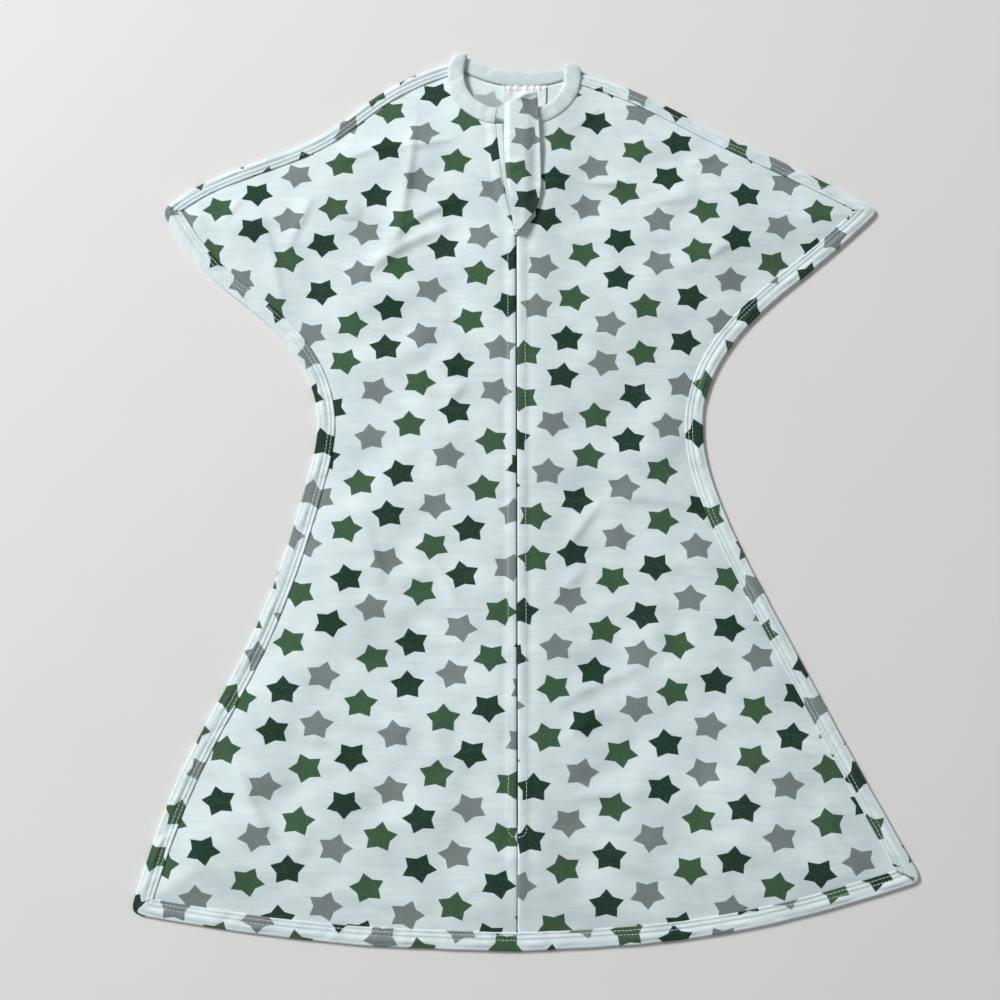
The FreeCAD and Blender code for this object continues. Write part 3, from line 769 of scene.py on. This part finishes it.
def neckBinding(material):
    # a flat tube carried round the neck: on the front from the opening to the shoulder, folded
    # under there, along the back, and folded up again; each line of it is worked out as a path
    k = binding
    legs, legCount, near = [], 70, k["nearShoulder"]
    for side in (-1, 1):
        seam, free = neckLines(side, legCount)
        z = frontHeight(seam[:, 0], seam[:, 1])
        z[:near] = z[near] + (k["shoulderZ"] - z[near]) * smoothStep(1 - np.arange(near) / near)
        legs.append([np.column_stack([line, z + lift]) for line, lift in ((seam, 0.1), (free, -0.1))])
    back = [np.column_stack([line, np.full(len(line), k["backZ"])]) for line in backNeckLines(120)]
    paths = []
    for i in range(2):
        leftLeg, rightLeg = legs[0][i][::-1], legs[1][i]
        turnLeft = foldOver(leftLeg[-1], leftLeg[-1] - leftLeg[-6], back[i][-1])
        turnRight = foldOver(rightLeg[0], rightLeg[0] - rightLeg[5], back[i][0])[::-1]
        paths.append(np.concatenate([leftLeg, turnLeft, back[i][::-1], turnRight, rightLeg]))
    seam, free = paths
    # where the band folds, its free edge draws in and its middle swells up, which rounds the fold
    foldAt = legCount + k["foldPoints"] // 2
    row = np.arange(len(seam))
    toFold = np.minimum(np.abs(row - foldAt), np.abs(row - (len(seam) - 1 - foldAt)))
    atFold = np.exp(-(toFold / k["foldPoints"]) ** 2)[:, None]
    free = free + (seam - free) * k["drawIn"] * atFold
    a = np.linspace(0, 1, k["across"])[None, :, None]
    mid = seam[:, None] * (1 - a) + free[:, None] * a
    mid = mid + np.array([0, k["hump"], 0]) * np.sin(np.pi * a) * atFold[:, None]
    t = np.gradient(mid, axis=0)
    n = np.cross(np.broadcast_to((free - seam)[:, None], t.shape), t)
    n = n / np.linalg.norm(n, axis=2, keepdims=True)
    rounded = np.sqrt(np.clip(1 - np.abs(2 * a - 1) ** 3.2, 0, 1))
    half = k["half"] * rounded * (0.8 + 0.25 * a) + 0.02
    run = np.r_[0, np.cumsum(np.linalg.norm(np.diff((seam + free) / 2, axis=0), axis=1))]
    lumps = ripple(run, run * 0, 44, k["lumpLength"], 9)[:, None, None]
    half = half + k["lumps"] * lumps * np.sin(np.pi * a)
    ring = np.concatenate([mid + n * half, (mid - n * half)[:, ::-1]], axis=1)
    rows, cols = ring.shape[:2]
    points = ring.reshape(-1, 3)
    v = np.concatenate([a[0, :, 0], a[0, ::-1, 0]]) * neck["width"]
    uv = np.stack([np.broadcast_to(run[:, None], (rows, cols)), np.broadcast_to(v, (rows, cols))], -1)
    faces = gridFaces(rows, cols, closed=True).tolist()
    faces += [list(range(cols))[::-1], [(rows - 1) * cols + i for i in range(cols)]]
    piece = meshPiece("neckBinding", points, faces, uv.reshape(-1, 2) * mm)
    return settle(piece, "neck_binding", "bag", "rib", material)


def foldOver(start, direction, end):
    # half a turn in the plane of the direction and straight down
    ahead = direction / np.linalg.norm(direction)
    ahead[2] = 0
    a = np.linspace(0, np.pi, binding["foldPoints"] + 2)[1:-1, None]
    middle = (start + end) / 2
    return (middle + ahead * binding["foldReach"] * np.sin(a)
            + np.array([0, 0, 1.0]) * (start[2] - end[2]) / 2 * np.cos(a))


guard = {"topLeft": (-9.0, 656.0), "topRight": (17.0, 666.0), "leftBow": (-8.0, 595.0),
         "rightBow": (20.0, 596.0), "rightTurn": (17.5, 572.0), "tip": (1.5, 548.3), "tipHalf": 1.0,
         "rows": 90, "across": 34, "crown": 15.1, "flat": 4.8, "leftDrop": 2.5, "rightDrop": 3.0,
         "thick": 1.2, "unevenness": 0.35, "wrinkle": 1.3, "curl": 2.2, "curlFrom": 652.0}


def zipGuard(outside, inside):
    # a doubled flap over the slider and the opening: highest along the zip, lower at its sides
    g = guard
    tip = np.array(g["tip"])
    left = arcThrough(g["topLeft"], g["leftBow"], tip - [g["tipHalf"], 0], g["rows"])
    right = [g["topRight"], g["rightBow"], g["rightTurn"], tip + [g["tipHalf"], 0]]
    right = splineThrough(right, g["rows"])
    t = np.linspace(0, 1, g["across"])[None, :, None]
    plan = left[:, None] * (1 - t) + right[:, None] * t
    x, h = plan[..., 0], plan[..., 1]
    drop = g["leftDrop"] * smoothStep((-x - g["flat"]) / 4.5)
    atTop = 1 - 0.4 * smoothStep((h - 628) / 12)
    drop = drop + g["rightDrop"] * smoothStep((x - g["flat"]) / 12) * atTop
    z = g["crown"] - drop
    away = smoothStep((np.abs(x) - g["flat"]) / 4) * smoothStep((h - 575) / 20)
    z = z + g["unevenness"] * away * ripple(x * 1.2, h * 0.5, 51, 6, 8)
    # soft wrinkles stand up from it, and its free top curls up
    z = z + g["wrinkle"] * np.clip(ripple(x + 0.7 * h, h - 0.4 * x, 53, 15, 9) + 0.15, 0, 1)
    curl = smoothStep((h - g["curlFrom"] - 0.35 * (x + 9)) / 7)
    z = z + curl * (g["curl"] * smoothStep((x + 6) / 14) + 0.5 * np.sin(x / 3.4))
    points = raised(plan, z)
    faces = gridFaces(g["rows"], g["across"])[:, ::-1]
    piece = meshPiece("zipGuard", points, faces, clothUv(points))
    addThickness(piece, g["thick"], -1, 1)
    settle(piece, "zip_guard", "bag", "printed_jersey", outside, inside)
    laySheet(plan)


def bandBetween(name, near, far, across, thick, height, node, slotName, *materials):
    # a strip of cloth between two plan lines, with its top from a height function
    t = np.linspace(0, 1, across)[None, :, None]
    plan = near[:, None] * (1 - t) + far[:, None] * t
    z = height(plan[..., 0], plan[..., 1], np.broadcast_to(t[..., 0], plan.shape[:2]))
    points = raised(plan, z)
    faces = gridFaces(len(near), across)
    along, over = near[1] - near[0], far[0] - near[0]
    if over[0] * along[1] - over[1] * along[0] < 0:
        faces = faces[:, ::-1]
    piece = meshPiece(name, points, faces, clothUv(points))
    addThickness(piece, thick, -1)
    return settle(piece, node, "bag", slotName, *materials)


def clearHalf(h):
    # half the clear way between the tapes
    o = opening
    return openHalf(h, o["top"] - o["facingTop"], o["middle"] - o["facingMiddle"])


def alongZip(side, half, low, high, step):
    h = np.linspace(low, high, int((high - low) / step) + 1)
    return np.stack([side * half(h), h], -1)


coil = {"pitch": 1.25, "wire": 0.22, "out": 0.97, "wide": 0.63, "tall": 0.5, "level": 7.65,
        "perTurn": 10}


def zipCoil(side, low, high, name, node, material):
    # a helix beside the zip line, a flattened turn to each pitch
    c = coil
    turns = (high - low) / c["pitch"]
    a = np.linspace(0, turns, int(turns * c["perTurn"])) * math.tau
    h = low + a / math.tau * c["pitch"]
    x = side * (clearHalf(h) + c["out"] + c["wide"] * np.cos(a))
    path = np.column_stack([x, h, c["level"] + c["tall"] * np.sin(a)])
    outward = np.column_stack([side * np.cos(a), 0 * a, np.sin(a)])
    return tubeAlong(name, path, c["wire"], 5, node, "zip_nylon", material, outward)


def zigzag(low, high, level, reach, passes, height):
    # a thread that swings across a line from one end to the other
    t = np.linspace(0, 1, passes * 6 + 1)
    swing = 2 * np.abs((t * passes) % 2 - 1) - 1
    x = low + (high - low) * t
    h = level + reach * swing
    return np.column_stack([x, h, height(x, h)])


label = {"left": -11.0, "right": 25.0, "top": 677.6, "bottom": 659.0, "thick": 0.3, "level": 1.55,
         "gather": 0.95, "gatherSize": 0.95, "swell": 2.1, "cornerRise": 3.2,
         "seamLevel": 674.0, "seamReach": 1.1, "seamPasses": 24, "seamWire": 0.2}


def labelHeight(x, h):
    # gathered at the seam, loose below it
    t = np.clip((label["top"] - h) / (label["top"] - label["bottom"]), 0, 1)
    folds = 0.5 + 0.5 * np.sin(x / label["gatherSize"] + 1.6 * ripple(x, h * 0.3, 61, 7, 9))
    sway = 0.55 + 0.45 * ripple(x, h, 63, 9, 11)
    hang = label["swell"] * np.sin(np.pi * t) * sway
    return label["level"] + label["gather"] * folds * (1 - t) ** 4 + hang


def neckLabel(satin):
    near = np.column_stack([np.linspace(label["left"], label["right"], 150), np.full(150, label["top"])])
    middle, half = (label["left"] + label["right"]) / 2, (label["right"] - label["left"]) / 2
    rise = label["cornerRise"] * np.abs((near[:, 0] - middle) / half) ** 12
    far = np.column_stack([near[:, 0] * 0.97 + middle * 0.03, label["bottom"] + rise])
    piece = bandBetween("neckLabel", near, far, 40, label["thick"],
                        lambda x, h, t: labelHeight(x, h), "neck_label", "satin_label", satin)


def fromScreen(r, g, b):
    # screen colour, 0 to 255, to the linear values that the shader takes
    c = np.array([r, g, b]) / 255
    return tuple(float(v) for v in np.where(c < 0.04045, c / 12.92, ((c + 0.055) / 1.055) ** 2.4))


stars = {
    "guard": [      # place in plan, turn and ink of each star on the zip guard
        ((8, 626), 0.2, "grey"), ((-0.5, 597), 1.5, "green"), ((10, 573), 1.35, "dark"),
        ((14, 652), 0.1, "grey")],
    "across": 0.0350, "down": 0.0318, "loose": 0.0036, "size": 0.0137, "squash": 0.82, "slant": 0.34,
    "edgeTurn": 0.94, "edgeReach": 0.59, "crisp": 0.00035, "blurred": 0.0011, "throughCloth": 0.46,
    "inks": {"grey": fromScreen(127, 138, 137), "green": fromScreen(62, 95, 66),
             "dark": fromScreen(26, 58, 43)},
    "white": (0.765, 0.872, 0.886),
}


def starEdge(dx, dy, turn):
    # distance r and angle a from a star's middle, folded into a tenth of a turn: the point is
    # inside where r cos(a - edgeTurn) is under edgeReach times the star's size, which puts the
    # inner corners at 0.62 of the size
    reach = (dx * dx + dy * dy).math("SQRT")
    angle = dy.math("ARCTAN2", dx) + turn + 2 * math.tau
    return reach * (angle.math("PINGPONG", math.pi / 5) - stars["edgeTurn"]).math("COSINE")


def inStar(edge, soft):
    return 1 - edge.above(stars["size"] * stars["edgeReach"], soft)


def guardStars(f, uv):
    # the few stars of the guard, one by one
    x, y, _ = f.parts(uv)
    covers = []
    for (atX, atH), turn, ink in stars["guard"]:
        edge = starEdge(x - atX * mm, (y - atH * mm) / stars["squash"], turn)
        covers.append((inStar(edge, stars["crisp"]), stars["inks"][ink]))
    return covers


def starCover(f, uv, soft):
    # one five-pointed star to a cell of staggered rows, each moved and turned by chance. The
    # rows slant, and each star's own offset is turned back upright
    px, py, _ = f.parts(uv)
    cs, sn = math.cos(stars["slant"]), math.sin(stars["slant"])
    x, y = px * cs + py * sn, py * cs - px * sn
    row = (y / stars["down"]).floor()
    across = x / stars["across"] + (row * 0.5).fract()
    column = across.floor()
    chance = f.node("ShaderNodeTexWhiteNoise", {"noise_dimensions": "2D"},
                    {"Vector": f.join(column, row)}, out="Color")
    r, g, b = f.parts(chance)
    dx = (across.fract() - 0.5) * stars["across"] + (r - 0.5) * 2 * stars["loose"]
    dy = ((y / stars["down"]).fract() - 0.5) * stars["down"] + (g - 0.5) * 2 * stars["loose"]
    dx, dy = dx * cs - dy * sn, (dy * cs + dx * sn) / stars["squash"]
    cover = inStar(starEdge(dx, dy, b * math.tau), soft)
    pick = ((column + row * 2) / 3 + (b * 7.31).fract() * 0.3).fract()
    return cover, pick


weave = {"knitAcross": 0.00095, "knitDown": 0.00075, "rib": 0.0011, "satin": 0.00022,
         "twist": 0.00032, "warp": 0.0006, "weft": 0.0005}


def knitHeight(f, uv):
    # columns of V stitches
    x, y, _ = f.parts(uv)
    arm = (x / weave["knitAcross"]).math("PINGPONG", 0.5)
    return ((y / weave["knitDown"] + arm * 0.9) * math.tau).math("SINE") * 0.5 + 0.5


def printedInk(f, uv, worn, soft):
    # how much of a star covers each point, and its ink: one of three by chance, a little worn
    cover, pick = starCover(f, uv, soft)
    inks, white = stars["inks"], stars["white"]
    green = f.mix(pick.above(0.33, 0.002), inks["grey"], inks["green"])
    ink = f.mix(pick.above(0.66, 0.002), green, inks["dark"])
    flecks = f.noise(f.stretch(uv, 420, 1300), 1.0, 2.0)
    ink = f.mix((flecks - 0.62).above(0.0, 0.2) * 0.06, ink, white)
    return cover, f.mix(worn, ink, tuple(0.4 * v for v in white))


def jersey(name, face):
    # heathered knit; its face is printed, the wrong side of the print, the guard's or plain
    white = stars["white"]
    f = Finish(name, white, 0.88, Sheen_Weight=0.06, Sheen_Roughness=0.5, Specular_IOR_Level=0.15)
    uv = f.uv("cloth")
    streak = f.noise(f.stretch(uv, 38, 300), 1.0, 4.0)
    cloud = f.noise(f.stretch(uv, 20, 34), 1.0, 4.0)
    fuzz = f.noise(uv, 1400.0, 2.0)
    tone = (streak - 0.5) * 1.2 + (cloud - 0.5) * 2.4 + (fuzz - 0.5) * 0.8
    color = f.mix(tone + 0.5, (white[0] * 0.86, white[1] * 0.885, white[2] * 0.905),
                  tuple(min(v * 1.07, 1) for v in white))
    worn = (cloud - 0.5) * 0.14 + (streak - 0.5) * 0.18
    if face == "guard":
        for cover, ink in guardStars(f, uv):
            color = f.mix(cover * 0.97, color, ink)
    elif face == "printed":
        cover, ink = printedInk(f, uv, worn, stars["crisp"])
        color = f.mix(cover, color, ink)
    elif face == "wrong":
        cover, ink = printedInk(f, uv, worn, stars["blurred"])
        color = f.mix(cover * stars["throughCloth"], color, ink)
    return f.surface(color, fuzz * 0.12 + 0.82,
                     knitHeight(f, uv) * 0.5 + fuzz * 0.35 + streak * 0.5, 0.00016, 0.7)


def ribCloth():
    f = Finish("ribBinding", (0.71, 0.785, 0.81), 0.88, Sheen_Weight=0.18, Sheen_Roughness=0.5,
               Specular_IOR_Level=0.25)
    uv = f.uv("cloth")
    rib = f.parts(uv)[0].wave(weave["rib"])
    fuzz = f.noise(uv, 1300.0, 2.0)
    cloud = f.noise(uv, 120.0, 4.0)
    # the rib wave also makes the colour darker in the grooves between the ribs, which is painted shade;
    # the cloud and fuzz are the yarn's own uneven tone
    color = f.mix(rib * 0.2 + cloud * 1.6 + fuzz * 0.2 - 0.5, (0.56, 0.67, 0.69), (0.80, 0.885, 0.895))
    return f.surface(color, fuzz * 0.1 + 0.82, rib * 0.7 + fuzz * 0.5, 0.00018, 0.55)


def satinCloth():
    f = Finish("labelSatin", (0.9, 0.93, 0.94), 0.38, Sheen_Weight=0.1)
    uv = f.uv("cloth")
    thread = f.parts(uv)[1].wave(weave["satin"])
    soft = f.noise(f.stretch(uv, 300, 2600), 1.0, 2.0)
    color = f.mix(soft, (0.84, 0.88, 0.89), (0.96, 0.98, 0.99))
    return f.surface(color, soft * 0.18 + 0.3, thread * 0.4 + soft, 0.00005, 0.5)


def threadFinish():
    f = Finish("sewingThread", (0.86, 0.91, 0.92), 0.6, Sheen_Weight=0.15)
    place = f.objectCoords()
    x, y, z = f.parts(place)
    twist = (x + y + z * 1.4).wave(weave["twist"])
    speck = f.noise(place, 900.0, 2.0)
    # the twist's ridges are painted lighter and its grooves darker, which is painted shade; the speck is
    # the thread's own uneven tone
    color = f.mix(twist * 0.5 + speck * 0.5, (0.7, 0.76, 0.78), (0.92, 0.96, 0.97))
    return f.surface(color, speck * 0.2 + 0.5, twist, 0.00006, 0.6)


def tapeFinish():
    f = Finish("wovenTape", (0.78, 0.84, 0.85), 0.8, Sheen_Weight=0.1)
    uv = f.uv("cloth")
    x, y, _ = f.parts(uv)
    cross = x.wave(weave["warp"]).math("MAXIMUM", y.wave(weave["weft"]))
    speck = f.noise(uv, 1100.0, 2.0)
    # the weave's raised threads are painted lighter and the low spots between them darker, which is
    # painted shade; the speck is the tape's own uneven tone
    color = f.mix(cross * 0.5 + speck * 0.4, (0.66, 0.72, 0.74), (0.86, 0.91, 0.92))
    return f.surface(color, speck * 0.15 + 0.72, cross, 0.00008, 0.7)


def nylonFinish():
    f = Finish("zipNylon", (0.8, 0.84, 0.85), 0.36)
    place = f.objectCoords()
    cloud = f.noise(place, 220.0, 3.0)
    scuff = f.noise(place, 1500.0, 3.0)
    color = f.mix(cloud, (0.74, 0.78, 0.79), (0.88, 0.91, 0.92))
    return f.surface(color, scuff * 0.25 + 0.25, scuff, 0.00003, 0.4)


def paintFinish():
    # paint with a few chips that show the metal
    f = Finish("paintedZinc", (0.82, 0.85, 0.85), 0.3, Coat_Weight=0.3, Coat_Roughness=0.15)
    place = f.objectCoords()
    cloud = f.noise(place, 260.0, 3.0)
    chip = (f.noise(place, 620.0, 4.0) - 0.7).above(0.0, 0.01)
    paint = f.mix(cloud, (0.76, 0.79, 0.8), (0.88, 0.9, 0.9))
    f.feed("Metallic", chip * 0.9)
    return f.surface(f.mix(chip, paint, (0.42, 0.42, 0.43)), cloud * 0.18 + chip * 0.15 + 0.22,
                     cloud - chip * 0.6, 0.00004, 0.4)


finish = {
    "star": jersey("starJersey", "printed"), "wrong": jersey("starJerseyInside", "wrong"),
    "guard": jersey("guardJersey", "guard"), "plain": jersey("plainJersey", "plain"),
    "rib": ribCloth(), "satin": satinCloth(), "thread": threadFinish(), "tape": tapeFinish(),
    "nylon": nylonFinish(), "paint": paintFinish(),
}
print("finishes made")

backPanel(finish["star"], finish["wrong"])
names = {-1: ("left", "Left"), 1: ("right", "Right")}
for side, (low, high) in names.items():
    frontPanel(side, finish["star"], finish["wrong"])
    for run in ("shoulder", "side"):
        wrapStrip(side, run, f"{run}Wrap{high}", f"{run}_wrap_{low}", finish["star"], finish["wrong"])
        dashes(f"{run}Stitches{high}", f"{run}_stitches_{low}", wrapRows(side, run), finish["thread"])
wrapStrip(0, "hem", "hemWrap", "hem_wrap", finish["star"], finish["wrong"])
dashes("hemStitches", "hem_stitches", wrapRows(0, "hem"), finish["thread"])
print("panels and wraps made")

neckBinding(finish["rib"])
neckLabel(finish["satin"])
seam = zigzag(label["left"] + 1, label["right"] - 1, label["seamLevel"], label["seamReach"],
              label["seamPasses"], lambda x, h: labelHeight(x, h) + label["seamWire"])
tubeAlong("labelStitches", seam, label["seamWire"], 6, "label_stitches", "thread", finish["thread"])
zipGuard(finish["guard"], finish["plain"])
print("neck made")

zipParts = {"row": 6.4, "tapeFoot": 72.0, "tapeWidth": 13.0, "tapeThick": 0.6, "tapeUnder": 0.95,
            "facingRaise": 0.1, "facingDrop": 0.55, "seamFoot": 13.5, "seamHalf": 8.0,
            "seamUnder": 1.0}
for side, (low, high) in names.items():
    clear = alongZip(side, clearHalf, zipParts["tapeFoot"], neckH, 2.0)
    bandBetween(f"zipTape{high}", clear, clear + [side * zipParts["tapeWidth"], 0], 14,
                zipParts["tapeThick"],
                lambda x, h, t: np.minimum(tapeHigh[2] / mm, frontHeight(x, h) - zipParts["tapeUnder"]),
                f"zip_tape_{low}", "zip_tape", finish["tape"])
    zipCoil(side, zipFootH, sliderH + 4.5, f"zipCoil{high}", f"zip_coil_{low}", finish["nylon"])
    zipCoil(side, sliderH + 4.8, neckH - 4.2, f"openCoil{high}", f"open_coil_{low}", finish["nylon"])
    row = alongZip(side, openHalf, zipEnd["level"] + 1, sliderH, 2.0) + [side * zipParts["row"], 0]
    row = np.column_stack([row, frontHeight(row[:, 0], row[:, 1]) + 0.06])
    dashes(f"zipStitches{high}", f"zip_stitches_{low}", [row], finish["thread"])

cut = alongZip(-1, openHalf, sliderH + 1.5, neckH, 1.5)
clear = np.column_stack([-clearHalf(cut[:, 1]), cut[:, 1]])
bandBetween("frontEdgeFacing", cut, clear, 12, cloth["thick"],
            lambda x, h, t: (frontTop + zipParts["facingRaise"]
                             - zipParts["facingDrop"] * smoothStep((t - 0.72) / 0.28)),
            "front_edge_facing", "plain_jersey", finish["plain"])
middle = alongZip(0, openHalf, zipParts["seamFoot"], zipParts["tapeFoot"] - 1, 2.0)
half = np.array([zipParts["seamHalf"], 0])
bandBetween("centreSeam", middle - half, middle + half, 16, cloth["thick"],
            lambda x, h, t: frontHeight(x, h) - zipParts["seamUnder"],
            "centre_seam", "plain_jersey", finish["plain"])
turn = np.linspace(0, np.pi, 40)    # the row goes round the foot of the zip
tack = np.stack([-zipEnd["half"] * np.cos(turn),
                 zipEnd["level"] - zipEnd["drop"] * np.sin(turn) ** 0.7], -1)
tack = evenly(tack, 60)
tack = np.column_stack([tack, frontHeight(*tack.T) + 0.05])
dashes("zipBartack", "zip_bartack", [tack], finish["thread"])

for node, kind in (("zip_slider", "paint"), ("zip_pull", "paint"), ("zip_top_stops", "nylon"),
                   ("zip_bottom_stop", "nylon")):
    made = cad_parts[node].data
    made.materials.clear()
    made.materials.append(finish[kind])
print("zip made")

stage = {"floor": (0.80, 0.80, 0.785), "world": (1.0, 1.0, 1.0), "worldLight": 0.27,
         "lamp": 262.0, "lampSize": 1.5, "lampAt": (-3.25, 2.6, 2.9), "tilt": 7.5, "away": 0.78,
         "target": (-0.0195, -0.01725, 0.0)}


def buildStage():
    f = Finish("paleFloor", stage["floor"], 0.9)
    place = f.objectCoords()
    grain = f.noise(place, 9.0, 3.0)
    f.feed("Base Color", f.mix(grain, tuple(v * 0.985 for v in stage["floor"]),
                               tuple(v * 1.015 for v in stage["floor"])))
    corners = np.array([[-4, -4], [4, -4], [4, 4], [-4, 4]], float)
    mesh = bpy.data.meshes.new("floor")
    mesh.from_pydata(np.column_stack([corners, np.full(4, -0.0003)]).tolist(), [], [[0, 1, 2, 3]])
    mesh.materials.append(f.material)
    addObject("floor", mesh)

    world = bpy.data.worlds.new("paleRoom")
    world.use_nodes = True
    sky = world.node_tree.nodes["Background"]
    sky.inputs["Color"].default_value = (*stage["world"], 1)
    sky.inputs["Strength"].default_value = stage["worldLight"]
    bpy.context.scene.world = world
    bpy.context.scene.view_settings.view_transform = "Standard"

    light = bpy.data.lights.new("softBox", "AREA")
    light.energy, light.shape, light.size = stage["lamp"], "DISK", stage["lampSize"]
    lamp = addObject("softBox", light)
    lamp.location = stage["lampAt"]
    lamp.rotation_euler = aim(stage["lampAt"], (0, 0, 0))

    camera = addObject("camera", bpy.data.cameras.new("camera"))
    camera.data.lens, camera.data.sensor_width = 36.0, 36.0
    camera.data.clip_start = 0.01
    target, tilt = np.array(stage["target"]), math.radians(stage["tilt"])
    camera.location = target + stage["away"] * np.array([0, -math.sin(tilt), math.cos(tilt)])
    camera.rotation_euler = (tilt, 0, 0)
    bpy.context.scene.camera = camera


def aim(place, target):
    # the turn that points a lamp's own down axis from its place to a target
    x, y, z = np.asarray(target, float) - np.asarray(place, float)
    return (math.atan2(math.hypot(x, y), -z), 0.0, math.atan2(y, x) - math.pi / 2)


buildStage()
print("stage made")

bpy.context.view_layer.update()
